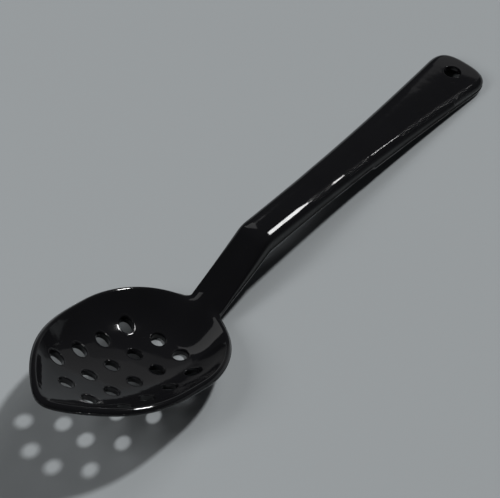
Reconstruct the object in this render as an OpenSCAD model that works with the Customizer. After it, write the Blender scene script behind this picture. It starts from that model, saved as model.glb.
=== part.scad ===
// Perforated serving spoon, moulded in black plastic and shown resting on a table.
// X runs from the tip of the bowl to the end of the handle, +Y is the left edge, +Z is up.
// The table is at Z = 0, and the origin lies on it under the middle of the spoon.
// The real spoon is one moulding: each module here is one region of it, and neighbouring
// regions meet face to face, so that the wall runs on from one into the next.

/* [Overall] */
// Length from the tip of the bowl to the end of the handle
length = 277.6; // [255:0.1:310]
// Thickness of the moulded wall in the neck and the handle
wall = 2.4; // [1.8:0.1:2.5]
// How far the rim leans back while the spoon rests on a table, in degrees
rim_tilt = 22; // [18:1:25]

/* [Bowl] */
// Width of the bowl over its rim
bowl_w = 66.5; // [60:0.1:74]
// From the tip to the widest place, along the rim
belly_l = 63.8; // [58:0.1:70]
// From the widest place to the heel, along the rim
heel_l = 40; // [36:0.5:46]
// Size of the rounding at the tip
tip_r = 7.25; // [5:0.25:9]
// Greatest depth of the dish under its inner edge
dish_depth = 14.5; // [10:0.5:17]
// From the tip's inner edge to the deepest place of the dish
dish_l = 79; // [74:1:84]
// Softness of the curve where the floor of the dish turns up into the neck
heel_soft = 2.5; // [1.5:0.1:3.5]
// Thickness of the wall in the dish
bowl_wall = 2.8; // [2:0.1:3]

/* [Rim] */
// Width of the rounded rim round the dish
rim_w = 2.6; // [2.6:0.1:3.2]
// How far the inner edge of the dish lies under the top of the rim
rim_lip = 0.5; // [0.2:0.05:0.8]
// From the top of the rim to the widest place of its rounding
rim_mid = 1.4; // [1.2:0.1:1.6]
// Height of the rim, from its top to its under edge
rim_h = 2.9; // [2.8:0.1:3.6]
// Rounding of the under edges of the rim and the skirt
edge_r = 0.8; // [0.4:0.1:1]

/* [Perforations] */
// Diameter of the round perforations
hole_d = 6.4; // [4:0.1:8]
// Pitch of the perforations along a row
hole_pitch = 15; // [13:0.5:16]
// Distance between neighbouring rows
row_pitch = 12.1; // [10:0.1:13]
// From the tip to the first perforation of the two middle rows
first_hole = 24.2; // [22:0.1:27]

/* [Neck] */
// Width of the neck
neck_w = 15.7; // [14:0.1:18]
// Angle between the rim and the neck, in degrees
neck_pitch = 50.7; // [46:0.1:54]
// How far in front of the heel the line of the neck passes through the rim
neck_in = 2.55; // [1.8:0.05:3.4]
// Reach of the neck along the rim, from there to the bend
neck_run = 24; // [20:0.1:30]
// Crown of the neck where it leaves the dish
root_crown = 1.4; // [0.8:0.1:2]
// Depth of the section where the neck leaves the dish
root_d = 6.6; // [6.5:0.1:8]
// Radius of the bend on its upper side
bend_r = 12; // [11:0.5:18]

/* [Handle] */
// Width of the handle at the bend
bend_w = 15.4; // [13:0.1:18]
// Width that the handle flares to at its end
end_w = 28.6; // [22:0.1:34]
// Depth of the channel section at the bend
bend_d = 9.8; // [8:0.1:10.5]
// Depth of the channel section at the end
end_d = 6.6; // [5.8:0.1:8]
// Crown of the upper face
crown = 0.6; // [0.3:0.1:1.2]
// Width of the rounded shoulder along each side
shoulder = 3; // [2.8:0.1:3.6]

// How far the lower edge steps down where the grip starts
step_d = 1.2; // [0.4:0.1:2]
// From the bend to that step
step_in = 67; // [50:1:80]

/* [Hanging end] */
// Length of the rounded end
end_l = 13; // [11:0.5:17]
// How far the upper face rolls down towards the end
end_roll = 1; // [0.4:0.1:1.2]
// Diameter of the hanging hole
hang_d = 7.5; // [6:0.5:9]
// From the end of the handle to the middle of the hanging hole
hang_in = 11.7; // [10:0.1:14]
// Length of the piece of handle that the hanging hole is in
hang_l = 26; // [23:0.5:32]

/* [Hidden] */
black = [0.03, 0.03, 0.035];
// Counts of steps along and across the surfaces
side_n = 34;
seam_n = 4;
ring_n = 12;
face_n = 4;
round_n = 4;
neck_n = 8;
arc_n = 5;
grip_n = 14;
end_n = 12;
settle_n = 6;
step_n = 3;
// Perforations in each middle row, and how sharply the tip, dish, fillet and end curves turn
middle_holes = 5;
tip_power = 3;
dish_power = 2.1;
side_power = 3;
root_power = 2;
fillet_power = 4;
end_power = 3;
// Shares of a rounding at which its curve is steered, and where the last end slice lies
steer_share = 0.45;
corner_share = 0.3;
last_share = 0.9995;
fade_share = 0.15;
// A cut runs this far past what it cuts, slopes are measured over this step, and the
// place that touches the table is looked for at these steps
overrun = 1;
step_l = 0.05;
rest_l = 0.1;

// Places along the rim plane, counted from the tip
heel_u = belly_l + heel_l;
neck_u = heel_u - neck_in;
seam_u = heel_u + edge_r;
bend_u = neck_u + neck_run;

// Smooth lesser and greater of two heights
function lesser(a, b, soft) = (a + b - sqrt((a - b) * (a - b) + 4 * soft * soft)) / 2;
function greater(a, b, soft) = (a + b + sqrt((a - b) * (a - b) + 4 * soft * soft)) / 2;
function ease(t) = let(s = max(0, min(1, t))) s * s * (3 - 2 * s);
function mix(a, b, t) = a + (b - a) * t;
function unit(v) = v / norm(v);

// Point of a rounding that starts at p and ends at q, steered by a and b
function curve(p, a, b, q, t) =
    pow(1 - t, 3) * p + 3 * pow(1 - t, 2) * t * a + 3 * (1 - t) * t * t * b + t * t * t * q;

// Outline of the bowl and the first of the neck, as half its width at u along the rim plane
function tip_half(u) =
    sqrt(pow(bowl_w / 2 * (1 - pow(1 - u / belly_l, tip_power)), 2)
        + 2 * tip_r * u * exp(-u / tip_r));
function heel_half(u) = bowl_w / 2 * sqrt(max(0, 1 - pow((u - belly_l) / heel_l, 2)));
function outline_half(u) =
    u < belly_l ? tip_half(max(0, u))
    : pow(pow(heel_half(u), fillet_power) + pow(neck_w / 2, fillet_power), 1 / fillet_power);

// Places along one side of the outline, from the tip to where the neck starts
side_u = [
    for (i = [0 : side_n / 2]) belly_l * (1 - cos(90 * i / (side_n / 2))),
    for (i = [1 : side_n / 2 - 1]) belly_l + heel_l * sin(90 * i / (side_n / 2 - 1)),
    seam_u
];
side_last = len(side_u) - 1;
function outer_point(i) = [side_u[i], outline_half(side_u[i])];
function outward(i) =
    i == 0 ? [-1, 0]
    : i == side_last ? [0, 1]
    : let(d = outer_point(i + 1) - outer_point(i - 1)) unit([-d[1], d[0]]);
outer_side = [for (i = [0 : side_last]) outer_point(i)];
side_out = [for (i = [0 : side_last]) outward(i)];
inner_side = [for (i = [0 : side_last]) outer_side[i] - rim_w * side_out[i]];
function inner_half(u) = lookup(u, inner_side);

// Heights over the rim plane: the line of the neck, the inner edge, and the middle of the dish
function neck_line(u) = (u - neck_u) * tan(neck_pitch);
function edge_line(u) = -rim_lip + greater(0, neck_line(u) - root_crown + rim_lip, rim_lip);
function floor_line(u) =
    -rim_lip - dish_depth * (1 - pow(abs(1 - (u - rim_w) / dish_l), dish_power));
function middle_line(u) = -lesser(-floor_line(u), -neck_line(u), heel_soft);

// Upper face of the bowl at u, v, its slopes, and the drop through the wall there. The flat
// floor and steep sides of the belly turn into the plain crown of the neck at the heel.
function heel_share(u) = ease((u - belly_l) / heel_l);
function dish(u, v) =
    let(
        edge = edge_line(u),
        half = max(inner_half(u), step_l),
        share = min(1, abs(v) / half),
        power = mix(side_power, root_power, heel_share(u))
    )
    u <= rim_w ? edge : edge + (middle_line(u) - edge) * (1 - pow(share, power));
function dish_slope_u(u, v) = (dish(u + step_l, v) - dish(u - step_l, v)) / (2 * step_l);
function dish_slope_v(u, v) = (dish(u, v) - dish(u, v - sign(v) * step_l)) / step_l;
function dish_drop(u, v) =
    mix(bowl_wall, wall, heel_share(u))
    * sqrt(1 + pow(dish_slope_u(u, v), 2) + pow(dish_slope_v(u, v), 2));

// Points spread from the middle of the dish out to its inner edge, ring by ring
edge_loop = concat(
    [for (i = [side_last : -1 : 1]) [inner_side[i][0], -inner_side[i][1]]],
    [for (i = [0 : side_last]) inner_side[i]],
    [for (i = [1 : seam_n - 1]) [seam_u, inner_side[side_last][1] * (1 - 2 * i / seam_n)]]
);
hub = [belly_l, 0];
spots = [for (r = [1 : ring_n], q = edge_loop) mix(hub, q, r / ring_n)];

// Resting place: the deepest point under the dish touches the table
tip_z = max([
    for (u = [belly_l : rest_l : heel_u])
        u * sin(rim_tilt) - (middle_line(u) - dish_drop(u, 0)) * cos(rim_tilt)
]);
tip_x = -length / 2 + (rim_h - edge_r) * sin(rim_tilt);
function place(u, v, h) = [
    tip_x + u * cos(rim_tilt) + h * sin(rim_tilt),
    v,
    tip_z - u * sin(rim_tilt) + h * cos(rim_tilt)
];

// Course of the neck and the handle: straight runs joined by an arc at the bend
neck_rise = neck_pitch - rim_tilt;
root_h = middle_line(seam_u);
root_rise = root_h - edge_line(seam_u);
root_p = place(seam_u, 0, root_h);
bend_p = place(bend_u, 0, neck_line(bend_u));
end_drop = shoulder + end_roll;
function fall_from(a) =
    atan((bend_p[2] - end_d * cos(a)) / (length / 2 + end_drop * sin(a) - bend_p[0]));
function settle(a, n) = n == 0 ? a : settle(fall_from(a), n - 1);
handle_fall = settle(0, settle_n);
end_p = [length / 2 + end_drop * sin(handle_fall), 0, end_d * cos(handle_fall)];
turn = neck_rise + handle_fall;
bend_cut = bend_r * tan(turn / 2);
neck_dir = [cos(neck_rise), 0, sin(neck_rise)];
grip_dir = [cos(handle_fall), 0, -sin(handle_fall)];
neck_end = bend_p - bend_cut * neck_dir;
grip_start = bend_p + bend_cut * grip_dir;
bend_c = neck_end + bend_r * [sin(neck_rise), 0, -cos(neck_rise)];
grip_l = norm(end_p - grip_start);
hang_start = grip_l - hang_l;

// One cross-section, as [across, up] from the crown's top: left foot, over the top, right foot
function flank(w, inset, rise, mid, deep) =
    let(
        half = w - inset,
        slope = 2 * rise / half,
        top = [half, -rise],
        side = [w, -rise - mid],
        reach = steer_share * inset
    )
    [
        for (i = [1 : face_n]) [half * i / face_n, -rise * pow(i / face_n, 2)],
        for (i = [1 : round_n])
            curve(top, top + [reach, -slope * reach], side + [0, steer_share * mid], side, i / round_n),
        [w, -deep + edge_r],
        [w - corner_share * edge_r, -deep + corner_share * edge_r],
        [w - edge_r, -deep]
    ];
function lining(w, inset, rise, deep, lean) =
    let(
        half = w - inset,
        drop = [
            for (i = [0 : face_n])
                wall * sqrt(1 + lean * lean + pow(2 * rise * i / face_n / half, 2))
        ],
        top = [half, -rise - drop[face_n]],
        side = [w, top[1] - inset],
        foot = [w, -deep],
        reach = steer_share * inset
    )
    [
        for (i = [1 : face_n]) [half * i / face_n, -rise * pow(i / face_n, 2) - drop[i]],
        for (i = [1 : round_n])
            curve(top, top + [reach, 0], side + [0, reach], side, i / round_n),
        mix(side, foot, 1 / 3),
        mix(side, foot, 2 / 3),
        foot
    ];
function both(list, top) =
    let(n = len(list))
    [
        for (i = [n - 1 : -1 : 0]) [-list[i][0], list[i][1]],
        [0, top],
        for (i = [0 : n - 1]) list[i]
    ];
// The section set up at a point of the course, leaning by an angle from upright
function set_up(list, p, lean_a) = [
    for (q = list) p + [q[1] * sin(lean_a), q[0], q[1] * cos(lean_a)]
];
function backwards(list) = [for (i = [len(list) - 1 : -1 : 0]) list[i]];
// A whole ring: outside from left foot to right foot, then inside from right foot to left
function ring(outer, inner, p, q, lean_a, lean) =
    concat(
        set_up(both(outer, 0), p, lean_a),
        backwards(set_up(both(inner, -wall * sqrt(1 + lean * lean)), q, lean_a))
    );
function plain_ring(p, lean_a, path_a, w, inset, rise, mid, deep) =
    let(lean = tan(lean_a + path_a))
    ring(flank(w, inset, rise, mid, deep), lining(w - wall, inset - wall, rise, deep, lean),
        p, p, lean_a, lean);

// Rings of the neck, from the dish to the middle of the bend
function neck_ring(t) =
    let(
        p = mix(root_p, neck_end, t),
        lean_a = mix(rim_tilt, -neck_rise, t)
    )
    plain_ring(p, lean_a, neck_rise, mix(neck_w, bend_w, t) / 2, mix(rim_w, shoulder, t),
        mix(root_rise, crown, t), mix(rim_mid, shoulder, t), mix(root_d, bend_d, t));
function bend_ring(t) =
    let(
        a = mix(neck_rise, -handle_fall, t),
        p = bend_c + bend_r * [-sin(a), 0, cos(a)]
    )
    plain_ring(p, -a, a, bend_w / 2, shoulder, crown, shoulder, bend_d);
neck_rings = [
    for (i = [0 : neck_n]) neck_ring(i / neck_n),
    for (i = [1 : arc_n]) bend_ring(i / arc_n / 2)
];

// Rings of the handle and of the hanging end, at d along the straight run after the bend
function grip_half(d) = bend_w / 2 + (end_w - bend_w) / 2 * pow(d / grip_l, 2);
function grip_deep(d) =
    mix(bend_d, end_d - step_d, d / grip_l) + step_d * ease((d - step_in) / step_d / 2);
// Half the width that the rounded end leaves at d, inside its edge by back
function end_half(d, back) =
    let(t = max(0, (d - grip_l + end_l) / (end_l - back)))
    (grip_half(d) - back) * pow(max(0, 1 - pow(t, end_power)), 1 / end_power);
function roll(d) = end_roll * pow(max(0, (d - grip_l + end_l) / end_l), 2);
// How far the upper face drops over the rounded shoulder of the end
function brow(d) =
    let(t = max(0, 1 - (grip_l - d) / shoulder))
    shoulder * (1 - sqrt(max(0, 1 - t * t)));
function grip_ring(d) =
    let(p = grip_start + d * grip_dir)
    plain_ring(p, handle_fall, -handle_fall, grip_half(d), shoulder, crown, shoulder,
        grip_deep(d));
grip_stops = concat(
    [for (i = [1 : grip_n / 2 - 1]) step_in * i / (grip_n / 2 - 1)],
    [for (i = [1 : step_n]) step_in + 2 * step_d * i / step_n],
    [for (i = [1 : grip_n / 2]) mix(step_in + 2 * step_d, hang_start, i / (grip_n / 2))]
);
handle_rings = [
    for (i = [0 : arc_n]) bend_ring(0.5 + i / arc_n / 2),
    for (d = grip_stops) grip_ring(d)
];

// A hollow channel from its rings: open at both ends, or closed at the far end
function loop_faces(rows, cols) = [
    for (i = [0 : rows - 2], j = [0 : cols - 1])
        let(a = i * cols + j, b = i * cols + (j + 1) % cols)
        each [[a, b, a + cols], [b, b + cols, a + cols]]
];
function lid_faces(start, cols, back) = [
    for (j = [0 : cols / 2 - 2])
        let(a = start + j, b = start + j + 1, c = start + cols - 1 - j, d = start + cols - 2 - j)
        each back ? [[a, c, b], [b, c, d]] : [[a, b, c], [b, d, c]]
];
// The far end when it is closed: an outer wall, the end of the hollow, and the foot between
function shut_faces(start, cols) =
    let(m = cols / 2)
    [
        for (k = [0, m], j = [0 : (m - 3) / 2])
            let(a = start + k + j, b = start + k + m - 1 - j)
            each j < (m - 3) / 2 ? [[a, a + 1, b], [a + 1, b - 1, b]] : [[a, a + 1, b]],
        [start, start + m - 1, start + m],
        [start, start + m, start + cols - 1]
    ];
module channel(rings, shut = false) {
    cols = len(rings[0]);
    rows = len(rings);
    far = (rows - 1) * cols;
    polyhedron(
        points = [for (r = rings) each r],
        faces = concat(
            loop_faces(rows, cols),
            lid_faces(0, cols, true),
            shut ? shut_faces(far, cols) : lid_faces(far, cols, false)
        )
    );
}

// Dished wall of the bowl, with its perforations
module bowl() {
    loop_n = len(edge_loop);
    upper = [for (q = spots) place(q[0], q[1], dish(q[0], q[1]))];
    lower = [for (q = spots) place(q[0], q[1], dish(q[0], q[1]) - dish_drop(q[0], q[1]))];
    under = loop_n * ring_n;
    hub_top = 2 * under;
    hub_low = hub_top + 1;
    rim_row = loop_n * (ring_n - 1);
    color(black)
        difference() {
            polyhedron(
                points = concat(upper, lower, [
                    place(hub[0], 0, dish(hub[0], 0)),
                    place(hub[0], 0, dish(hub[0], 0) - dish_drop(hub[0], 0))
                ]),
                faces = [
                    for (j = [0 : loop_n - 1])
                        let(k = (j + 1) % loop_n)
                        each [
                            [hub_top, j, k],
                            [hub_low, under + k, under + j],
                            [rim_row + j, under + rim_row + j, rim_row + k],
                            [rim_row + k, under + rim_row + j, under + rim_row + k]
                        ],
                    for (r = [0 : ring_n - 2], j = [0 : loop_n - 1])
                        let(a = r * loop_n + j, b = r * loop_n + (j + 1) % loop_n)
                        each [
                            [a, a + loop_n, b],
                            [b, a + loop_n, b + loop_n],
                            [under + a, under + b, under + a + loop_n],
                            [under + b, under + b + loop_n, under + a + loop_n]
                        ]
                ]
            );
            perforations();
        }
}

// Round perforations, square to the rim plane, in four staggered rows
module perforations() {
    reach = dish_depth + rim_h;
    for (side = [-1, 1], outer = [0, 1], i = [0 : middle_holes - 1 - outer])
        translate(place(first_hole + hole_pitch * (i + outer / 2), side * row_pitch * (outer + 0.5), -reach))
            rotate([0, rim_tilt, 0])
                cylinder(d = hole_d, h = reach + overrun, $fn = 48);
}

// Rounded rim, as a bead swept round the inner edge from one side of the neck to the other
function rim_slope(i) =
    let(q = inner_side[i], back = q - step_l * side_out[i])
    i == side_last ? -2 * (middle_line(q[0]) - edge_line(q[0])) / q[1]
    : (dish(q[0], q[1]) - dish(back[0], back[1])) / step_l;
function rim_ring(i, side) =
    let(
        q = inner_side[i],
        n = side_out[i],
        h = edge_line(q[0]),
        outer_h = edge_line(outer_side[i][0]) - rim_mid,
        fade_u = heel_u - heel_l * fade_share,
        foot_h = mix(-rim_h, root_h - root_d, ease((side_u[i] - fade_u) / (seam_u - fade_u))),
        slope = rim_slope(i),
        reach = steer_share * rim_w,
        profile = [
            for (k = [0 : round_n])
                curve([0, h], [reach, h + slope * reach], [rim_w, outer_h + steer_share * rim_mid],
                    [rim_w, outer_h], k / round_n),
            [rim_w, foot_h + edge_r],
            [rim_w - corner_share * edge_r, foot_h + corner_share * edge_r],
            [rim_w - edge_r, foot_h],
            [rim_w - wall, foot_h],
            [0, h - dish_drop(q[0], q[1])]
        ]
    )
    [for (s = profile) place(q[0] + n[0] * s[0], side * (q[1] + n[1] * s[0]), s[1])];
module rim() {
    rings = concat(
        [for (i = [side_last : -1 : 1]) rim_ring(i, -1)],
        [for (i = [0 : side_last]) rim_ring(i, 1)]
    );
    cols = len(rings[0]);
    rows = len(rings);
    color(black)
        polyhedron(
            points = [for (r = rings) each r],
            faces = concat(
                loop_faces(rows, cols),
                [[for (j = [cols - 1 : -1 : 0]) j]],
                [[for (j = [0 : cols - 1]) (rows - 1) * cols + j]]
            )
        );
}

// Neck: a crowned plate at the dish that deepens into a channel up to the bend
module neck() {
    color(black)
        channel(neck_rings);
}

// Handle: crowned channel that flares and grows shallower away from the bend
module handle() {
    color(black)
        channel(handle_rings);
}

// Hanging end: the channel closes round the end, and a round hole goes through its face
module hanging_end() {
    up = [sin(handle_fall), 0, cos(handle_fall)];
    hole_p = grip_start + (grip_l - hang_in) * grip_dir;
    // Slices of the outside and of the hollow, closer together towards the end
    outer_l = hang_l * last_share;
    inner_l = outer_l - wall;
    function crown_at(half, d) = crown * pow(half / (grip_half(d) - shoulder), 2);
    rings = [
        for (i = [0 : end_n])
            let(
                share = 1 - pow(1 - i / end_n, 2),
                d = hang_start + outer_l * share,
                e = hang_start + inner_l * share,
                w = end_half(d, 0),
                v = end_half(e, wall),
                inset = min(shoulder, w / 2),
                hollow = min(shoulder - wall, v / 2),
                lid = roll(d) + brow(d)
            )
            ring(
                flank(w, inset, crown_at(w - inset, d), shoulder - brow(d), grip_deep(d) - lid),
                lining(v, hollow, crown_at(v - hollow, e), grip_deep(e) - roll(e), 0),
                grip_start + d * grip_dir - lid * up,
                grip_start + e * grip_dir - roll(e) * up,
                handle_fall, 0
            )
    ];
    color(black)
        difference() {
            channel(rings, true);
            translate(hole_p - (wall + end_roll + overrun) * up)
                rotate([0, handle_fall, 0])
                    cylinder(d = hang_d, h = wall + end_roll + 2 * overrun, $fn = 48);
        }
}

bowl();
rim();
neck();
handle();
hanging_end();
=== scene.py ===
import math

import bmesh
import bpy
import numpy as np
from mathutils import Matrix, Vector, geometry


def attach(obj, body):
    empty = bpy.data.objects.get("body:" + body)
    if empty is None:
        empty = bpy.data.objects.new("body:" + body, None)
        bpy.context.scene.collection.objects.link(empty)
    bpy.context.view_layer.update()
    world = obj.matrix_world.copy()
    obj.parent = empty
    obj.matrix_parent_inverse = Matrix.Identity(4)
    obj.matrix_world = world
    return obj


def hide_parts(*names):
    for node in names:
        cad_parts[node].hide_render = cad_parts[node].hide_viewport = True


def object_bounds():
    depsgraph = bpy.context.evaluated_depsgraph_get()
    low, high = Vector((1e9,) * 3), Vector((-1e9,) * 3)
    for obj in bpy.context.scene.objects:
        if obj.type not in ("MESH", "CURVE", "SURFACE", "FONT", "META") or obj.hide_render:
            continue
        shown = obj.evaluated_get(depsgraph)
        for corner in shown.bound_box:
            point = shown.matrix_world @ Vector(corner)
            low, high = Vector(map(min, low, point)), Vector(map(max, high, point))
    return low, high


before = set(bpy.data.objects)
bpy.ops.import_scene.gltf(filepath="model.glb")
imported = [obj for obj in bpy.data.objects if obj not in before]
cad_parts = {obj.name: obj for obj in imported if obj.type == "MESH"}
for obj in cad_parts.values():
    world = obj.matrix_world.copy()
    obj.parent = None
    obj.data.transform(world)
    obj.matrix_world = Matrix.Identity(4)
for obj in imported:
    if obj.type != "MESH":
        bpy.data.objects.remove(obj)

CAD_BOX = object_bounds()

# The whole spoon. Its sizes are in millimetres, and MM turns them into metres
MM = 0.001
LENGTH = 277.6
WALL = 2.4

# Bowl: its plan lies in the plane of the rim, with u counted from the tip and v across
RIM_TILT = math.radians(22)
BOWL_WALL = 2.8
BOWL_W = 66.5
BELLY_L = 63.8
BELLY_POWER = 3
HEEL_L = 40.0
HEEL_JOIN_POWER = 4
TIP_R = 7.25
DISH_DEPTH = 14.5
DISH_L = 79.0
DISH_POWER = 2.1
SIDE_POWER = 3.0
ROOT_POWER = 2.0
HEEL_SOFT = 2.5
LEAST_HALF = 0.05

# Rim: the dish's edge lies RIM_LIP under its plane, and its widest place RIM_MID under that edge
RIM_W = 2.6
RIM_LIP = 0.5
RIM_MID = 1.4
RIM_H = 2.9
EDGE_R = 0.8
FOOT_DROP_AT = 0.85
UNDER_OUT = 0.7
UNDER_IN = (0.35, 0.3)

# Perforations: four rows, the outer two shorter by one hole
HOLE_D = 6.4
HOLE_LIP = 0.45
HOLE_UNDER_LIP = 0.25
HOLE_RING = 0.95
COLLAR_H = 0.05
COLLAR_W = 0.35
HOLE_PITCH = 15.0
ROW_PITCH = 12.1
ROW_HOLES = 5
FIRST_HOLE = 24.2

# Neck and bend
NECK_W = 15.7
NECK_PITCH = math.radians(50.7)
NECK_IN = 2.55
NECK_RUN = 24.0
ROOT_CROWN = 1.4
ROOT_D = 6.6
BEND_R = 12.0
BEND_W = 15.4
BEND_D = 9.8

# Handle and its hanging end
END_W = 28.6
END_D = 6.6
CROWN = 0.6
SHOULDER = 3.0
STEP_D = 1.2
STEP_IN = 67.0
END_L = 13.0
END_EASE = 5
END_ROLL = 1.0
END_POWER = 3.0
HANG_D = 7.5
HANG_LIP = 0.4
HANG_IN = 11.7
HANG_L = 26.0
LINING_R = 0.3

# Facet on the shoulder: its slope and width, and its share at places along the handle
FACET_SLOPE = 0.404
FACET_IN = 0.6
FACET_OUT = 1.0
FACET_BEND_PACE = 1.5
FACET_RUN = [(0, 1), (18, 1), (30, 0.4), (32, 0), (38, 0), (41, 0.8), (50, 0.5), (54, 0)]

# Bead along the foot of the neck's and the handle's sides
BEAD = 0.3
BEAD_H = 0.9
BEAD_R = 0.6
BEAD_LEAN = 0.7
BEAD_PACE = 3
BEAD_TURNS = (0.5, 1.0, math.pi / 2)

# Scuffs: their share at places along the spoon, and how far the shoulder leans where they start
SCUFF_RUNS = [(19, 0), (23, 1), (32, 1), (34, 0), (42, 0), (44, 1), (56, 0.8), (60, 0.1), (76, 0.15),
              (81, 0.8), (119, 0.9), (126, 0.2), (138, 0.2)]
SCUFF_LEAN = 0.15

# How far the handles of a rounding's curve reach, as a share of its size
CURVE_REACH = 0.45

# Steps along the outlines, and the span over which a slope is measured
OUTLINE_STEP = 0.5
SLOPE_STEP = 0.05

# Even triangles of a plate: their distance from its edge and their height are shares of the spacing
BOWL_SPACING = 1.4
END_SPACING = 1.2
EDGE_CLEAR = 0.6
TRIANGLE_H = 0.866

# Counts of steps across a section
FACE_N = 14
FACET_N = 4
ROUND_N = 12
SIDE_STEPS = 3
BEAD_N = 4
FOOT_N = 4
UNDER_N = 6
QUARTER = [math.pi / 2 * i / FOOT_N for i in range(FOOT_N + 1)]

# Counts of steps round the holes and along the outlines
HOLE_N = 60
LIP_N = 6
COLLAR_N = 6
OUTLINE_N = 900
SEAM_N = 40
HEEL_N = 401
END_SIDE_N = 200
END_TURN_N = 1500

# Rounds in which the fall of the handle settles
FALL_ROUNDS = 6

# Counts of sections along the neck and the handle, which share the bend
NECK_N = 44
BEND_N = 20
BEND_NECK_N = 10
GRIP_N = 40
STEP_N = 9
GRIP_REST_N = 32

# Sides of the neck and handle: steps of the shoulder's rounding that are satin too
SATIN_N = 5

# Distances within which points are one, in metres, but in millimetres in a plan
SAME_POINT = 1e-6
WELD = 2e-6
SAME_IN_PLAN = 1e-6
NO_LENGTH = 1e-12

# Kind of triangulation of a plan: only the triangles inside its lines
TRIANGLES_INSIDE = 1

HEEL_U = BELLY_L + HEEL_L
NECK_U = HEEL_U - NECK_IN
SEAM_U = HEEL_U + EDGE_R
BEND_U = NECK_U + NECK_RUN


# Curves
def lesser(a, b, soft):
    """The smaller of two values, with a soft change from one to the other."""
    return (a + b - math.sqrt((a - b) ** 2 + 4 * soft * soft)) / 2


def greater(a, b, soft):
    """The larger of two values, with a soft change from one to the other."""
    return (a + b + math.sqrt((a - b) ** 2 + 4 * soft * soft)) / 2


def ease(t):
    t = max(0.0, min(1.0, t))
    return t * t * (3 - 2 * t)


def mix(a, b, t):
    return a + (b - a) * t


def bezier(p, a, b, q, t):
    s = 1 - t
    return s ** 3 * p + 3 * s * s * t * a + 3 * s * t * t * b + t ** 3 * q


def even_steps(points, step):
    """Points at even steps along a line, ends included."""
    points = np.asarray(points, float)
    run = np.concatenate([[0], np.cumsum(np.linalg.norm(np.diff(points, axis=0), axis=1))])
    count = max(2, int(round(run[-1] / step)) + 1)
    at = np.linspace(0, run[-1], count)
    return np.stack([np.interp(at, run, points[:, k]) for k in range(points.shape[1])], 1)


def outward_of(points):
    """Unit normals to the left of a line's own direction."""
    along = np.gradient(points, axis=0)
    out = np.stack([-along[:, 1], along[:, 0]], 1)
    return out / np.linalg.norm(out, axis=1)[:, None]


# Outline of the bowl
def outline_half(u):
    """Half the width of the bowl at u along its rim plane, counted from the tip."""
    if u < BELLY_L:
        u = max(0.0, u)
        wide = BOWL_W / 2 * (1 - (1 - u / BELLY_L) ** BELLY_POWER)
        return math.sqrt(wide ** 2 + 2 * TIP_R * u * math.exp(-u / TIP_R))
    heel = BOWL_W / 2 * math.sqrt(max(0.0, 1 - ((u - BELLY_L) / HEEL_L) ** 2))
    return (heel ** HEEL_JOIN_POWER + (NECK_W / 2) ** HEEL_JOIN_POWER) ** (1 / HEEL_JOIN_POWER)


def bowl_side():
    """One side of the outline from the tip to the seam with the neck, and its outward directions."""
    turn = np.linspace(0, math.pi / 2, OUTLINE_N)
    us = np.concatenate([BELLY_L * (1 - np.cos(turn)), BELLY_L + HEEL_L * np.sin(turn[1:]),
                         np.linspace(HEEL_U, SEAM_U, SEAM_N)[1:]])
    side = even_steps([(u, outline_half(u)) for u in us], OUTLINE_STEP)
    out = outward_of(side)
    out[0] = (-1, 0)
    out[-1] = (0, 1)
    return side, out


SIDE, SIDE_OUT = bowl_side()
INNER = SIDE - RIM_W * SIDE_OUT
SEAM_HALF = float(INNER[-1][1])


def inner_half(u):
    """Half the width of the dish inside its rim."""
    return float(np.interp(u, INNER[:, 0], INNER[:, 1]))


# The dish and the neck's line, as heights over the plane of the rim
def neck_line(u):
    return (u - NECK_U) * math.tan(NECK_PITCH)


def edge_line(u):
    """The edge of the dish, which rises to meet the neck."""
    return -RIM_LIP + greater(0, neck_line(u) - ROOT_CROWN + RIM_LIP, RIM_LIP)


def floor_line(u):
    return -RIM_LIP - DISH_DEPTH * (1 - abs(1 - (u - RIM_W) / DISH_L) ** DISH_POWER)


def middle_line(u):
    """The middle of the dish, along its floor and up into the neck."""
    return -lesser(-floor_line(u), -neck_line(u), HEEL_SOFT)


def heel_share(u):
    return ease((u - BELLY_L) / HEEL_L)


def dish(u, v):
    """The upper surface of the dish."""
    edge = edge_line(u)
    if u <= RIM_W:
        return edge
    share = min(1.0, abs(v) / max(inner_half(u), LEAST_HALF))
    power = mix(SIDE_POWER, ROOT_POWER, heel_share(u))
    return edge + (middle_line(u) - edge) * (1 - share ** power)


def dish_drop(u, v):
    """The wall of the dish along its height, which is more than its thickness where it slopes."""
    du = (dish(u + SLOPE_STEP, v) - dish(u - SLOPE_STEP, v)) / (2 * SLOPE_STEP)
    dv = (dish(u, v) - dish(u, v - math.copysign(SLOPE_STEP, v))) / SLOPE_STEP
    return mix(BOWL_WALL, WALL, heel_share(u)) * math.sqrt(1 + du * du + dv * dv)


def dish_under(u, v):
    """The lower surface of the dish."""
    return dish(u, v) - dish_drop(u, v)


TILT_S, TILT_C = math.sin(RIM_TILT), math.cos(RIM_TILT)
TIP_X = -LENGTH / 2 + (RIM_H - EDGE_R) * TILT_S
TIP_Z = max(u * TILT_S - (middle_line(u) - dish_drop(u, 0)) * TILT_C
            for u in np.linspace(BELLY_L, HEEL_U, HEEL_N))


def place(u, v, h):
    """A point of the bowl as the spoon rests, from its plan and its height over the rim's plane."""
    return np.array([TIP_X + u * TILT_C + h * TILT_S, v, TIP_Z - u * TILT_S + h * TILT_C])


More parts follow.
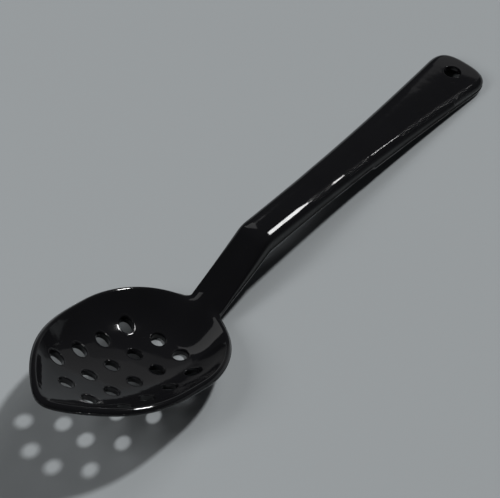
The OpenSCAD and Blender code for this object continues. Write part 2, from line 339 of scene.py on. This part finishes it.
# Course of the handle: up the neck, round the bend and down until the end rests on the table
NECK_RISE = NECK_PITCH - RIM_TILT
ROOT_H = middle_line(SEAM_U)
ROOT_RISE = ROOT_H - edge_line(SEAM_U)
ROOT_P = place(SEAM_U, 0, ROOT_H)
BEND_P = place(BEND_U, 0, neck_line(BEND_U))
END_DROP = SHOULDER + END_ROLL
FALL = 0.0
for _ in range(FALL_ROUNDS):
    FALL = math.atan((BEND_P[2] - END_D * math.cos(FALL))
                     / (LENGTH / 2 + END_DROP * math.sin(FALL) - BEND_P[0]))
END_P = np.array([LENGTH / 2 + END_DROP * math.sin(FALL), 0, END_D * math.cos(FALL)])
BEND_CUT = BEND_R * math.tan((NECK_RISE + FALL) / 2)
NECK_DIR = np.array([math.cos(NECK_RISE), 0, math.sin(NECK_RISE)])
GRIP_DIR = np.array([math.cos(FALL), 0, -math.sin(FALL)])
GRIP_UP = np.array([math.sin(FALL), 0, math.cos(FALL)])
NECK_END = BEND_P - BEND_CUT * NECK_DIR
GRIP_START = BEND_P + BEND_CUT * GRIP_DIR
BEND_C = NECK_END + BEND_R * np.array([math.sin(NECK_RISE), 0, -math.cos(NECK_RISE)])
GRIP_L = float(np.linalg.norm(END_P - GRIP_START))
HANG_START = GRIP_L - HANG_L


def grip_half(d):
    """Half the width of the handle at d past the bend."""
    return BEND_W / 2 + (END_W - BEND_W) / 2 * (d / GRIP_L) ** 2


def grip_deep(d):
    """Depth of the handle, with the small step in its lower edge."""
    return (mix(BEND_D, END_D - STEP_D, d / GRIP_L)
            + STEP_D * ease((d - STEP_IN) / STEP_D / 2))


def roll(d):
    """How far the face of the handle rolls down over its end."""
    return END_ROLL * max(0.0, (d - GRIP_L + END_L) / END_L) ** 2


# Profiles of shoulder, skirt and lining
def over_edge(p, q, slope, wide, high):
    """Curve that leaves the face's edge p at the face's slope and comes down to the side at q."""
    out, up = CURVE_REACH * wide, CURVE_REACH * high
    return [bezier(p, p + [out, slope * out], q + [0, up], q, k / ROUND_N) for k in range(ROUND_N + 1)]


def rounding(slope, inset, mid):
    """Curve from the edge of the face, over the shoulder, to the widest place."""
    return over_edge(np.array([0, 0.0]), np.array([inset, -mid]), slope, inset, mid)


def skirt(w, side_h, foot_h, bead=0.0):
    """From just under the widest place down to the foot, and in along it by the edge's rounding.
    A bead leaves the side hollow by its own height above the foot."""
    low = foot_h + BEAD_R
    top = low + BEAD_H
    foot_w = w - BEAD_LEAN * bead
    out = [np.array([w - bead * i / SIDE_STEPS, mix(side_h, top + bead, i / SIDE_STEPS)])
           for i in range(1, SIDE_STEPS + 1)]
    out += [np.array([w - bead * math.cos(a), top + bead * (1 - math.sin(a))]) for a in BEAD_TURNS]
    out += [np.array([mix(w, foot_w, i / BEAD_N), mix(top, low, i / BEAD_N)])
            for i in range(1, BEAD_N + 1)]
    out += [np.array([foot_w - BEAD_R + BEAD_R * math.cos(a), low - BEAD_R * math.sin(a)])
            for a in QUARTER[1:]]
    return out


def lining(w_in, side_h, foot_h, gap):
    """From the foot's inner corner up the lining and round to the edge of the hollow's roof."""
    r = LINING_R
    out = [np.array([w_in + r - r * math.sin(a), foot_h + r - r * math.cos(a)]) for a in QUARTER]
    out += [np.array([w_in, mix(foot_h + r, side_h, i / SIDE_STEPS)])
            for i in range(1, SIDE_STEPS + 1)]
    out += [np.array([w_in - gap + gap * math.cos(a), side_h + gap * math.sin(a)])
            for a in QUARTER[1:]]
    return out


def half_section(w, inset, rise, mid, deep, lean, facet, bead):
    """One half of a channel section, from the crown out, down, in and up to the roof's middle.
    A facet makes the edge of the face nearly flat, at the slope that catches the light."""
    half = w - inset
    flat = half - FACET_IN
    out = []
    for i in range(FACE_N + 1):
        x = half * i / FACE_N
        cut = -(rise - FACET_SLOPE * FACET_IN) * min(1, x / flat) ** 2 - FACET_SLOPE * max(0, x - flat)
        out.append(np.array([x, mix(-rise * (i / FACE_N) ** 2, cut, facet)]))
    curve = rounding(-2 * rise / half, inset, mid)
    bent = rounding(-FACET_SLOPE, inset - FACET_OUT, mid - FACET_SLOPE * FACET_OUT)
    for i in range(1, ROUND_N + 1):
        if i <= FACET_N:
            cut = FACET_OUT * i / FACET_N * np.array([1, -FACET_SLOPE])
        else:
            cut = FACET_OUT * np.array([1, -FACET_SLOPE])
            cut = cut + bent[round((i - FACET_N) * ROUND_N / (ROUND_N - FACET_N))]
        out.append(np.array([half, -rise]) + mix(curve[i], cut, facet))
    out += skirt(w, -rise - mid, -deep, bead)
    drop = [WALL * math.sqrt(1 + lean * lean + (2 * rise * i / FACE_N / half) ** 2)
            for i in range(FACE_N + 1)]
    gap = inset - WALL
    roof_h = -rise - drop[FACE_N]
    out += lining(w - WALL, roof_h - gap, -deep, gap)
    out += [np.array([half * i / FACE_N, -rise * (i / FACE_N) ** 2 - drop[i]])
            for i in range(FACE_N - 1, -1, -1)]
    return out


def whole_ring(points, p, lean_a):
    """Both halves of a section, set up at a point of the course."""
    both = points + [np.array([-q[0], q[1]]) for q in points[-2:0:-1]]
    return [p + np.array([q[1] * math.sin(lean_a), q[0], q[1] * math.cos(lean_a)]) for q in both]


def neck_ring(t):
    """Section of the neck, at a share of its way from the bowl to the bend."""
    lean_a = mix(RIM_TILT, -NECK_RISE, t)
    half = half_section(mix(NECK_W, BEND_W, t) / 2, mix(RIM_W, SHOULDER, t), mix(ROOT_RISE, CROWN, t),
                        mix(RIM_MID, SHOULDER, t), mix(ROOT_D, BEND_D, t), math.tan(lean_a + NECK_RISE),
                        0, BEAD * ease(BEAD_PACE * t))
    return whole_ring(half, mix(ROOT_P, NECK_END, t), lean_a)


def bend_ring(t):
    """Section at a share of the bend."""
    a = mix(NECK_RISE, -FALL, t)
    p = BEND_C + BEND_R * np.array([-math.sin(a), 0, math.cos(a)])
    facet = ease(FACET_BEND_PACE * t)
    return whole_ring(half_section(BEND_W / 2, SHOULDER, CROWN, SHOULDER, BEND_D, 0, facet, BEAD), p, -a)


def grip_ring(d):
    """Section of the handle at d past the bend."""
    run_d, run_share = zip(*FACET_RUN)
    facet = float(np.interp(d, run_d, run_share))
    half = half_section(grip_half(d), SHOULDER, CROWN, SHOULDER, grip_deep(d), 0, facet, BEAD)
    return whole_ring(half, GRIP_START + d * GRIP_DIR, FALL)


# Making the meshes
def only(ob):
    """Selects one object and nothing else."""
    bpy.ops.object.select_all(action="DESELECT")
    ob.select_set(True)
    bpy.context.view_layer.objects.active = ob


def loft(name, rings, inner_column=None):
    """A grid primitive whose rows are moved onto rings of a section, closed round and at both ends.
    The ends, and a column that lies against another part, are noted as joint faces."""
    cols, rows = len(rings[0]), len(rings)
    bpy.ops.object.select_all(action="DESELECT")
    bpy.ops.mesh.primitive_grid_add(x_subdivisions=cols, y_subdivisions=rows - 1, size=0.1)
    ob = bpy.context.object
    ob.name = ob.data.name = name
    ob.data.transform(ob.matrix_world)
    ob.matrix_world = Matrix.Identity(4)
    co = np.array([list(r) + [r[0]] for r in rings], float).reshape(-1, 3) * MM
    ob.data.vertices.foreach_set("co", co.ravel())
    joint = ob.data.attributes.new("joint_face", "BOOLEAN", "FACE")
    if inner_column is not None:
        joint.data.foreach_set("value", [k % cols == inner_column for k in range(cols * (rows - 1))])
    bpy.ops.object.mode_set(mode="EDIT")
    bpy.ops.mesh.select_all(action="SELECT")
    bpy.ops.mesh.remove_doubles(threshold=SAME_POINT)
    bpy.ops.mesh.fill_holes(sides=0)
    bpy.ops.mesh.select_all(action="SELECT")
    bpy.ops.mesh.normals_make_consistent(inside=False)
    bpy.ops.object.mode_set(mode="OBJECT")
    flags = ob.data.attributes["joint_face"].data
    for face in ob.data.polygons:
        if len(face.vertices) > 4:
            flags[face.index].value = True
    return ob


def hole_rings(centre, radius, lip):
    """Rings of points round a hole, from its edge out over the rounded lip and down the low collar
    that the mould leaves, with the drop at each as a share of the lip."""
    raised = COLLAR_H / lip
    steps = [(radius + lip - lip * math.cos(a), 1 - (1 + raised) * math.sin(a))
             for a in np.linspace(0, math.pi / 2, LIP_N)]
    steps += [(radius + lip + COLLAR_W * t, -raised * (1 + math.cos(math.pi * t)) / 2)
              for t in np.linspace(0, 1, COLLAR_N + 1)[1:]]
    steps += [(radius + lip + HOLE_RING, 0.0)]
    turn = [2 * math.pi * k / HOLE_N for k in range(HOLE_N)]
    return [[(centre[0] + r * math.cos(a), centre[1] + r * math.sin(a), k) for a in turn]
            for r, k in steps]


def within(loop, x, y):
    """Whether a point lies inside a closed line."""
    hit = False
    j = len(loop) - 1
    for i in range(len(loop)):
        (xi, yi), (xj, yj) = loop[i], loop[j]
        if (yi > y) != (yj > y) and x < (xj - xi) * (y - yi) / (yj - yi) + xi:
            hit = not hit
        j = i
    return hit


def grid_inside(border, holes, clear, spacing):
    """Points of an even triangle grid inside the border, off its edge and clear of the holes."""
    edge = np.array(border)
    low, high = edge.min(axis=0), edge.max(axis=0)
    inside = []
    row = 0
    y = low[1]
    while y < high[1]:
        x = low[0] + (spacing / 2 if row % 2 else 0)
        while x < high[0]:
            from_edge = np.min(np.hypot(edge[:, 0] - x, edge[:, 1] - y))
            off_holes = all(math.hypot(x - c[0], y - c[1]) > clear for c in holes)
            if from_edge > EDGE_CLEAR * spacing and off_holes and within(border, x, y):
                inside.append((x, y))
            x += spacing
        y += spacing * TRIANGLE_H
        row += 1
    return inside


def plate(name, border, holes, radius, lip, under_lip, spacing, top, under, put):
    """A plate between two surfaces, with round holes whose edges are rounded.
    border is its outline in plan, and top and under give the heights at a point of the plan."""
    plan = list(border)
    drops = [0.0] * len(plan)
    edges = [(i, (i + 1) % len(plan)) for i in range(len(plan))]
    hole_starts = []
    for centre in holes:
        hole_starts.append(len(plan))
        for ring in hole_rings(centre, radius, lip):
            start = len(plan)
            plan += [(x, y) for x, y, _ in ring]
            drops += [k for _, _, k in ring]
            edges += [(start + i, start + (i + 1) % HOLE_N) for i in range(HOLE_N)]
    inside = grid_inside(border, holes, radius + lip + HOLE_RING + spacing / 2, spacing)
    plan += inside
    drops += [0.0] * len(inside)
    flat = geometry.delaunay_2d_cdt([Vector(p) for p in plan], edges, [], TRIANGLES_INSIDE, SAME_IN_PLAN)
    assert len(flat[0]) == len(plan), (len(flat[0]), len(plan))
    open_r = radius * math.cos(math.pi / HOLE_N)
    skin = []
    for tri in flat[2]:
        mid_x = sum(plan[i][0] for i in tri) / 3
        mid_y = sum(plan[i][1] for i in tri) / 3
        if all(math.hypot(mid_x - c[0], mid_y - c[1]) > open_r for c in holes):
            a, b, c = (Vector(plan[i]) for i in tri)
            skin.append(tuple(tri) if (b - a).cross(c - a) > 0 else tuple(reversed(tri)))
    n = len(plan)
    verts = [put(x, y, top(x, y) - lip * drops[i]) for i, (x, y) in enumerate(plan)]
    verts += [put(x, y, under(x, y) + under_lip * max(0, drops[i])) for i, (x, y) in enumerate(plan)]
    faces = skin + [tuple(n + i for i in reversed(tri)) for tri in skin]
    for start in hole_starts:
        faces += [(start + i, n + start + i, n + start + (i + 1) % HOLE_N, start + (i + 1) % HOLE_N)
                  for i in range(HOLE_N)]
    joint_start = len(faces)
    around = len(border)
    faces += [(i, n + i, n + (i + 1) % around, (i + 1) % around) for i in range(around)]
    mesh = bpy.data.meshes.new(name)
    mesh.from_pydata([tuple(np.array(v) * MM) for v in verts], [], faces)
    mesh.validate()
    joint = mesh.attributes.new("joint_face", "BOOLEAN", "FACE")
    joint.data.foreach_set("value", [k >= joint_start for k in range(len(faces))])
    ob = bpy.data.objects.new(name, mesh)
    bpy.context.scene.collection.objects.link(ob)
    only(ob)
    bpy.ops.object.mode_set(mode="EDIT")
    bpy.ops.mesh.select_all(action="SELECT")
    bpy.ops.mesh.normals_make_consistent(inside=False)
    bpy.ops.object.mode_set(mode="OBJECT")
    return ob


def joined(name, *parts):
    """Parts that share an edge, made one mesh. The faces between them are taken out."""
    bpy.ops.object.select_all(action="DESELECT")
    for ob in parts:
        ob.select_set(True)
    bpy.context.view_layer.objects.active = parts[0]
    bpy.ops.object.join()
    ob = bpy.context.object
    ob.name = ob.data.name = name
    mesh = bmesh.new()
    mesh.from_mesh(ob.data)
    flag = mesh.faces.layers.bool["joint_face"]
    ends = [face for face in mesh.faces if face[flag]]
    middles = np.array([face.calc_center_median() for face in ends])
    shared = [face for face, middle in zip(ends, middles)
              if np.sum(np.linalg.norm(middles - middle, axis=1) < WELD) > 1]
    bmesh.ops.delete(mesh, geom=shared, context="FACES")
    bmesh.ops.remove_doubles(mesh, verts=mesh.verts, dist=WELD)
    mesh.to_mesh(ob.data)
    mesh.free()
    return ob


def fit_to_frame(pieces):
    """Squeezes the finished pieces together, by about a thousandth, into the box of the CAD pieces,
    because their finer arcs reach a little past its facets."""
    spots = [np.array([v.co for v in ob.data.vertices]) for ob in pieces]
    whole = np.concatenate(spots)
    low, high = whole.min(axis=0), whole.max(axis=0)
    cad_low, cad_high = np.array(CAD_BOX)
    for ob, old in zip(pieces, spots):
        new = cad_low + (old - low) * (cad_high - cad_low) / (high - low)
        ob.data.vertices.foreach_set("co", new.ravel())
        ob.data.update()


def share_normals(pieces):
    """One smooth normal at each place, also where two pieces of the moulding meet."""
    total = {}
    data = []
    for ob in pieces:
        mesh = ob.data
        co = np.empty(len(mesh.vertices) * 3)
        mesh.vertices.foreach_get("co", co)
        co = co.reshape(-1, 3)
        keys = [tuple(k) for k in np.round(co / WELD).astype(np.int64)]
        flags = mesh.attributes["joint_face"].data
        data.append((mesh, keys, [f.value for f in flags]))
        for face in mesh.polygons:
            if flags[face.index].value:
                continue
            ids = list(face.vertices)
            normal = np.array(face.normal)
            for k, i in enumerate(ids):
                a = co[ids[k - 1]] - co[i]
                b = co[ids[(k + 1) % len(ids)]] - co[i]
                a_len, b_len = np.linalg.norm(a), np.linalg.norm(b)
                if a_len < NO_LENGTH or b_len < NO_LENGTH:
                    continue
                angle = math.acos(max(-1.0, min(1.0, float(a @ b) / (a_len * b_len))))
                total[keys[i]] = total.get(keys[i], 0) + angle * normal
    for mesh, keys, flags in data:
        normals = np.zeros((len(mesh.loops), 3))
        for face in mesh.polygons:
            for corner in face.loop_indices:
                normal = total.get(keys[mesh.loops[corner].vertex_index])
                if flags[face.index] or normal is None:
                    normal = np.array(face.normal)
                normals[corner] = normal / (np.linalg.norm(normal) or 1)
        for face in mesh.polygons:
            face.use_smooth = True
        mesh.normals_split_custom_set(normals.tolist())
        mesh.attributes.remove(mesh.attributes["joint_face"])


# Bowl
seam_row = [(SEAM_U, SEAM_HALF * (1 - i / FACE_N)) for i in range(1, 2 * FACE_N)]
bowl_border = ([(float(p[0]), -float(p[1])) for p in INNER[:0:-1]]
               + [(float(p[0]), float(p[1])) for p in INNER] + seam_row)
holes = []
for side in (-1, 1):
    for outer in (0, 1):
        for i in range(ROW_HOLES - outer):
            holes.append((FIRST_HOLE + HOLE_PITCH * (i + outer / 2), side * ROW_PITCH * (outer + 0.5)))
bowl = plate("bowl", bowl_border, holes, HOLE_D / 2, HOLE_LIP, HOLE_UNDER_LIP, BOWL_SPACING,
             dish, dish_under, place)


# Rim
def rim_ring(i, side):
    """Section of the rim at a point of the outline, on one side of the bowl."""
    q, n = INNER[i], SIDE_OUT[i]
    u, v = float(q[0]), float(q[1])
    h = dish(u, v)
    outer_u = float(SIDE[i][0])
    outer_h = edge_line(outer_u) - RIM_MID
    drop_u = BELLY_L + HEEL_L * FOOT_DROP_AT
    foot_h = mix(-RIM_H, ROOT_H - ROOT_D, ease((outer_u - drop_u) / (SEAM_U - drop_u)))
    if i == len(SIDE) - 1:
        slope = -2 * ROOT_RISE / SEAM_HALF
    else:
        back = q - SLOPE_STEP * n
        slope = (h - dish(float(back[0]), float(back[1]))) / SLOPE_STEP
    profile = over_edge(np.array([0, h]), np.array([RIM_W, outer_h]), slope, RIM_W, RIM_MID)
    profile += skirt(RIM_W, outer_h, foot_h)
    foot, wall = profile[-1], np.array([0, h - dish_drop(u, v)])
    profile += [bezier(foot, foot - (UNDER_OUT, 0), wall + UNDER_IN, wall, k / UNDER_N)
                for k in range(1, UNDER_N + 1)]
    return [place(q[0] + n[0] * s[0], side * (q[1] + n[1] * s[0]), s[1]) for s in profile]


rim_rings = ([rim_ring(i, -1) for i in range(len(SIDE) - 1, 0, -1)]
             + [rim_ring(i, 1) for i in range(len(SIDE))])
rim = loft("rim", rim_rings, inner_column=len(rim_rings[0]) - 1)

# Neck and handle
neck_rings = [neck_ring(i / NECK_N) for i in range(NECK_N + 1)]
neck_rings += [bend_ring(i / BEND_N) for i in range(1, BEND_NECK_N + 1)]
neck = loft("neck", neck_rings)
stops = list(np.linspace(0, STEP_IN, GRIP_N)[1:])
stops += list(np.linspace(STEP_IN, STEP_IN + 2 * STEP_D, STEP_N)[1:])
stops += list(np.linspace(STEP_IN + 2 * STEP_D, HANG_START, GRIP_REST_N)[1:])
handle_rings = [bend_ring(i / BEND_N) for i in range(BEND_NECK_N, BEND_N + 1)]
handle_rings += [grip_ring(d) for d in stops]
handle = loft("handle", handle_rings)


# Hanging end
def end_line():
    """One side of the hanging end, from the handle round to its middle, and its outward directions."""
    line = [(d, grip_half(d)) for d in np.linspace(HANG_START, GRIP_L - END_L, END_SIDE_N)]
    for a in np.linspace(0, math.pi / 2, END_TURN_N)[1:]:
        d = GRIP_L - END_L + END_L * math.sin(a) ** (2 / END_POWER)
        line.append((d, grip_half(d) * max(0.0, math.cos(a)) ** (2 / END_POWER)))
    side = even_steps(line, OUTLINE_STEP)
    out = outward_of(side)
    for i, p in enumerate(side):
        way = mix(np.array([0, 1.0]), out[i], ease((p[0] - HANG_START) / END_EASE))
        out[i] = way / np.linalg.norm(way)
    out[-1] = (1, 0)
    return side, out


END_SIDE, END_OUT = end_line()
END_IN = END_SIDE - SHOULDER * END_OUT
END_IN[-1][1] = 0


def end_top(d, y):
    """The face of the hanging end, under the line of the handle."""
    return -CROWN * (y / (grip_half(d) - SHOULDER)) ** 2 - roll(d)


def end_under(d, y):
    """The roof of the hollow under the face."""
    return end_top(d, y) - WALL


def end_put(d, y, h):
    """A point of the hanging end as the spoon rests."""
    return GRIP_START + d * GRIP_DIR + np.array([0, y, 0]) + h * GRIP_UP


face_half = float(END_IN[0][1])
end_border = ([(float(p[0]), -float(p[1])) for p in END_IN]
              + [(float(p[0]), float(p[1])) for p in END_IN[-2::-1]]
              + [(HANG_START, face_half * (1 - i / FACE_N)) for i in range(1, 2 * FACE_N)])
end_face = plate("end_face", end_border, [(GRIP_L - HANG_IN, 0.0)], HANG_D / 2, HANG_LIP,
                 HOLE_UNDER_LIP, END_SPACING, end_top, end_under, end_put)


def end_ring(i, side):
    """Section of the shoulder, side and lining at a point of the end's outline."""
    q, n = END_IN[i], END_OUT[i]
    h = end_top(float(q[0]), float(q[1]))
    foot = -grip_deep(float(END_SIDE[i][0]))
    back = q - SLOPE_STEP * n
    slope = (h - end_top(float(back[0]), float(back[1]))) / SLOPE_STEP
    profile = [np.array([c[0], h + c[1]]) for c in rounding(slope, SHOULDER, SHOULDER)]
    profile += skirt(SHOULDER, h - SHOULDER, foot, BEAD)
    gap = SHOULDER - WALL
    profile += lining(gap, h - WALL - gap, foot, gap)
    return [end_put(q[0] + n[0] * s[0], side * (q[1] + n[1] * s[0]), s[1]) for s in profile]


end_rings = ([end_ring(i, -1) for i in range(len(END_SIDE))]
             + [end_ring(i, 1) for i in range(len(END_SIDE) - 2, -1, -1)])
end_edge = loft("end_edge", end_rings, inner_column=len(end_rings[0]) - 1)
hanging_end = joined("hanging_end", end_face, end_edge)

spoon = {"bowl": bowl, "rim": rim, "neck": neck, "handle": handle, "hanging_end": hanging_end}
fit_to_frame(list(spoon.values()))
share_normals(list(spoon.values()))

# Black moulded plastic: its darkest and lightest black, and the grain of each pattern
DARKEST = (0.0045, 0.0045, 0.005, 1)
LIGHTEST = (0.0065, 0.0065, 0.0075, 1)
PLASTIC_IOR = 1.4
CLOUD_SCALE = 45
HAZE_SCALE = 160
RIPPLE_SCALE = 110
NICK_SCALE = 1100
NICK_ROUGHNESS = 0.6
RIPPLE_STRENGTH = 0.12
RIPPLE_HEIGHT = 0.0006
SCUFF_HEIGHT = 0.00055
SCUFF_DULLING = 0.05


def node(tree, kind, at, **settings):
    """A new node of a material, with its settings."""
    made = tree.nodes.new(kind)
    made.location = at
    for key, value in settings.items():
        setattr(made, key, value)
    return made


def noise(tree, at, where, scale, detail):
    """A noise pattern that lies in the piece's own coordinates."""
    made = node(tree, "ShaderNodeTexNoise", at)
    made.inputs["Scale"].default_value = scale
    made.inputs["Detail"].default_value = detail
    tree.links.new(where.outputs["Object"], made.inputs["Vector"])
    return made


def black_plastic(name, gloss, low, high, scuffed):
    """Black plastic with its gloss, as specular level, its lowest and highest roughness, and
    how strongly use has scuffed it."""
    mat = bpy.data.materials.new(name)
    mat.use_nodes = True
    tree = mat.node_tree
    link = tree.links.new
    shader = tree.nodes["Principled BSDF"]
    shader.inputs["IOR"].default_value = PLASTIC_IOR
    shader.inputs["Specular IOR Level"].default_value = gloss
    where = node(tree, "ShaderNodeTexCoord", (-1200, 0))
    worn = node(tree, "ShaderNodeAttribute", (-1150, -600), attribute_name="scuffs")
    # Colour: nearly black, with faint cloudiness from the moulding
    cloud = noise(tree, (-900, 300), where, CLOUD_SCALE, detail=3)
    tint = node(tree, "ShaderNodeValToRGB", (-650, 300))
    tint.color_ramp.elements[0].color = DARKEST
    tint.color_ramp.elements[1].color = LIGHTEST
    link(cloud.outputs["Fac"], tint.inputs["Fac"])
    link(tint.outputs["Color"], shader.inputs["Base Color"])
    # Gloss: a little duller in patches, and where it is scuffed
    haze = noise(tree, (-900, 0), where, HAZE_SCALE, detail=5)
    dull = node(tree, "ShaderNodeMapRange", (-650, 0))
    dull.inputs["To Min"].default_value = low
    dull.inputs["To Max"].default_value = high
    link(haze.outputs["Fac"], dull.inputs["Value"])
    dulled = node(tree, "ShaderNodeMath", (-300, -250), operation="MULTIPLY_ADD")
    dulled.inputs[1].default_value = SCUFF_DULLING
    link(worn.outputs["Fac"], dulled.inputs[0])
    link(dull.outputs["Result"], dulled.inputs[2])
    link(dulled.outputs["Value"], shader.inputs["Roughness"])
    # Relief: the slow ripple of the mould
    ripple = noise(tree, (-900, -300), where, RIPPLE_SCALE, detail=2)
    bump = node(tree, "ShaderNodeBump", (-400, -300))
    bump.inputs["Strength"].default_value = RIPPLE_STRENGTH
    bump.inputs["Distance"].default_value = RIPPLE_HEIGHT
    link(ripple.outputs["Fac"], bump.inputs["Height"])
    # Relief: fine nicks on top of it, where the piece is marked as scuffed
    nicks = noise(tree, (-1150, -850), where, NICK_SCALE, detail=2)
    nicks.inputs["Roughness"].default_value = NICK_ROUGHNESS
    scuff = node(tree, "ShaderNodeMath", (-400, -700), operation="MULTIPLY")
    link(worn.outputs["Fac"], scuff.inputs[0])
    link(nicks.outputs["Fac"], scuff.inputs[1])
    relief = node(tree, "ShaderNodeBump", (-200, -450))
    relief.inputs["Strength"].default_value = scuffed
    relief.inputs["Distance"].default_value = SCUFF_HEIGHT
    link(scuff.outputs["Value"], relief.inputs["Height"])
    link(bump.outputs["Normal"], relief.inputs["Normal"])
    link(relief.outputs["Normal"], shader.inputs["Normal"])
    return mat


def mark_scuffs(ob):
    """Notes at each vertex how scuffed it is: along the right shoulder, in runs along the handle."""
    run_x, run_share = zip(*SCUFF_RUNS)
    mark = ob.data.attributes.new("scuffs", "FLOAT", "POINT")
    for vertex in ob.data.vertices:
        shoulder = min(1, max(0, -(vertex.normal.y + SCUFF_LEAN) / SCUFF_LEAN))
        mark.data[vertex.index].value = shoulder * np.interp(vertex.co.x / MM, run_x, run_share)


PLASTIC = black_plastic("glossy_black_plastic", gloss=0.4, low=0.05, high=0.10, scuffed=0.0)
GRIP_PLASTIC = black_plastic("scuffed_black_plastic", gloss=0.45, low=0.06, high=0.12, scuffed=0.8)
SIDE_PLASTIC = black_plastic("satin_black_plastic", gloss=0.13, low=0.22, high=0.32, scuffed=0.2)
section_n = len(neck_rings[0])
side_columns = set()
for k in range(FACE_N + ROUND_N - SATIN_N, FACE_N + ROUND_N + SIDE_STEPS):
    side_columns |= {k, section_n - 1 - k}
side_rows = {"neck": len(neck_rings) - 1, "handle": len(handle_rings) - 1}
for name, ob in spoon.items():
    mark_scuffs(ob)
    ob.data.materials.clear()
    ob.data.materials.append(GRIP_PLASTIC if name in ("handle", "hanging_end") else PLASTIC)
    if name in side_rows:
        ob.data.materials.append(SIDE_PLASTIC)
        for face in ob.data.polygons[:side_rows[name] * section_n]:
            face.material_index = int(face.index % section_n in side_columns)
    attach(ob, "root")
    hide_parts(name)

# Camera, at the photograph's angle, in radians and metres
AZIMUTH, ELEVATION, DISTANCE = 0.6975, 0.9132, 1.01762
TARGET = Vector((-0.0025, 0.00905, 0.0))
SENSOR_W = 36
FOCAL_IN_PIXELS = 2387.26
PHOTO_W = 500
look = Vector((math.cos(ELEVATION) * math.cos(AZIMUTH), math.cos(ELEVATION) * math.sin(AZIMUTH),
               -math.sin(ELEVATION)))
camera_data = bpy.data.cameras.new("camera")
camera_data.sensor_width = SENSOR_W
camera_data.lens = SENSOR_W * FOCAL_IN_PIXELS / PHOTO_W
camera = bpy.data.objects.new("camera", camera_data)
bpy.context.scene.collection.objects.link(camera)
camera.location = TARGET - look * DISTANCE
camera.rotation_euler = look.to_track_quat("-Z", "Y").to_euler()
bpy.context.scene.camera = camera

# Floor, in metres
FLOOR_SIZE = 4
FLOOR_GREY = (0.32, 0.34, 0.35, 1)
FLOOR_ROUGHNESS = 0.6
bpy.ops.object.select_all(action="DESELECT")
bpy.ops.mesh.primitive_plane_add(size=FLOOR_SIZE, location=(0, 0, 0))
floor = bpy.context.object
floor.name = "floor"
grey = bpy.data.materials.new("grey_table")
grey.use_nodes = True
table_shader = grey.node_tree.nodes["Principled BSDF"]
table_shader.inputs["Base Color"].default_value = FLOOR_GREY
table_shader.inputs["Roughness"].default_value = FLOOR_ROUGHNESS
floor.data.materials.append(grey)

# Light: directions in degrees, sizes in metres
KEY_STRENGTH = 2.2
KEY_SPREAD = math.radians(5)
PANEL_DISTANCE = 1.5
NEAR_DISTANCE = 0.7
WINDOW_TURN = -24
ROOM_COLOUR = (0.03, 0.031, 0.033, 1)
ROOM_STRENGTH = 1.0


def toward(azimuth, elevation):
    a, e = math.radians(azimuth), math.radians(elevation)
    return Vector((math.cos(e) * math.cos(a), math.cos(e) * math.sin(a), math.sin(e)))


def soft_panel(name, azimuth, elevation, width, height, radiance, distance=PANEL_DISTANCE, turn=0,
               fill=False):
    """A flat soft light that faces the spoon from a direction, in degrees, turned in its own plane.
    A fill lights the surfaces themselves, and every other panel shows in their gloss alone."""
    data = bpy.data.lights.new(name, "AREA")
    data.shape = "RECTANGLE"
    data.size, data.size_y = width, height
    data.energy = radiance * math.pi * width * height
    ob = bpy.data.objects.new(name, data)
    way = toward(azimuth, elevation)
    ob.location = way * distance
    spin = Matrix.Rotation(math.radians(turn), 3, "Z")
    ob.rotation_euler = (way.to_track_quat("Z", "Y").to_matrix() @ spin).to_euler()
    ob.visible_camera = False
    ob.visible_glossy = not fill
    ob.visible_diffuse = fill
    bpy.context.scene.collection.objects.link(ob)
    return ob


def shines_on(lamp, *names):
    """Keeps a lamp's light to some of the pieces."""
    lit = bpy.data.collections.new("lit_by_" + lamp.name)
    for name in names:
        lit.objects.link(spoon[name])
    lamp.light_linking.receiver_collection = lit


key_data = bpy.data.lights.new("key", "SUN")
key_data.energy = KEY_STRENGTH
key_data.angle = KEY_SPREAD
key = bpy.data.objects.new("key", key_data)
key.rotation_euler = toward(azimuth=-15, elevation=58).to_track_quat("Z", "Y").to_euler()
key.visible_glossy = False
bpy.context.scene.collection.objects.link(key)
soft_panel("fill_left", azimuth=158, elevation=45, width=0.34, height=0.80, radiance=8.4, fill=True)
soft_panel("fill_right", azimuth=8, elevation=44, width=0.55, height=0.75, radiance=3.9, fill=True)
bowl_window = soft_panel("bowl_window", azimuth=80, elevation=36, width=1.50, height=0.66, radiance=1.0,
                         turn=WINDOW_TURN)
shines_on(bowl_window, "bowl")
bend_window = soft_panel("bend_window", azimuth=70, elevation=38, width=0.60, height=0.30, radiance=1.0,
                         distance=NEAR_DISTANCE, turn=WINDOW_TURN)
shines_on(bend_window, "handle")
low_backdrop = soft_panel("low_backdrop", azimuth=25, elevation=3.5, width=1.9, height=0.5, radiance=0.23)
dim_backdrop = soft_panel("dim_backdrop", azimuth=25, elevation=16.5, width=1.9, height=0.18, radiance=0.15)
shines_on(low_backdrop, "bowl", "rim")
shines_on(dim_backdrop, "bowl", "rim")
end_backdrop = soft_panel("end_backdrop", azimuth=14, elevation=15, width=0.9, height=0.8, radiance=0.32)
shines_on(end_backdrop, "handle", "hanging_end")
handle_lamp = soft_panel("handle_lamp", azimuth=-17, elevation=43, width=0.14, height=0.14, radiance=32)
shines_on(handle_lamp, "neck", "handle", "hanging_end")
rim_lamp = soft_panel("rim_lamp", azimuth=-32, elevation=45, width=0.22, height=0.22, radiance=220)
shines_on(rim_lamp, "rim")
bowl_lamp = soft_panel("bowl_lamp", azimuth=-27, elevation=35, width=0.2, height=0.2, radiance=60)
shines_on(bowl_lamp, "bowl")

world = bpy.data.worlds.new("room")
bpy.context.scene.world = world
world.use_nodes = True
world.node_tree.nodes["Background"].inputs["Color"].default_value = ROOM_COLOUR
world.node_tree.nodes["Background"].inputs["Strength"].default_value = ROOM_STRENGTH

bpy.context.scene.view_settings.view_transform = "Standard"
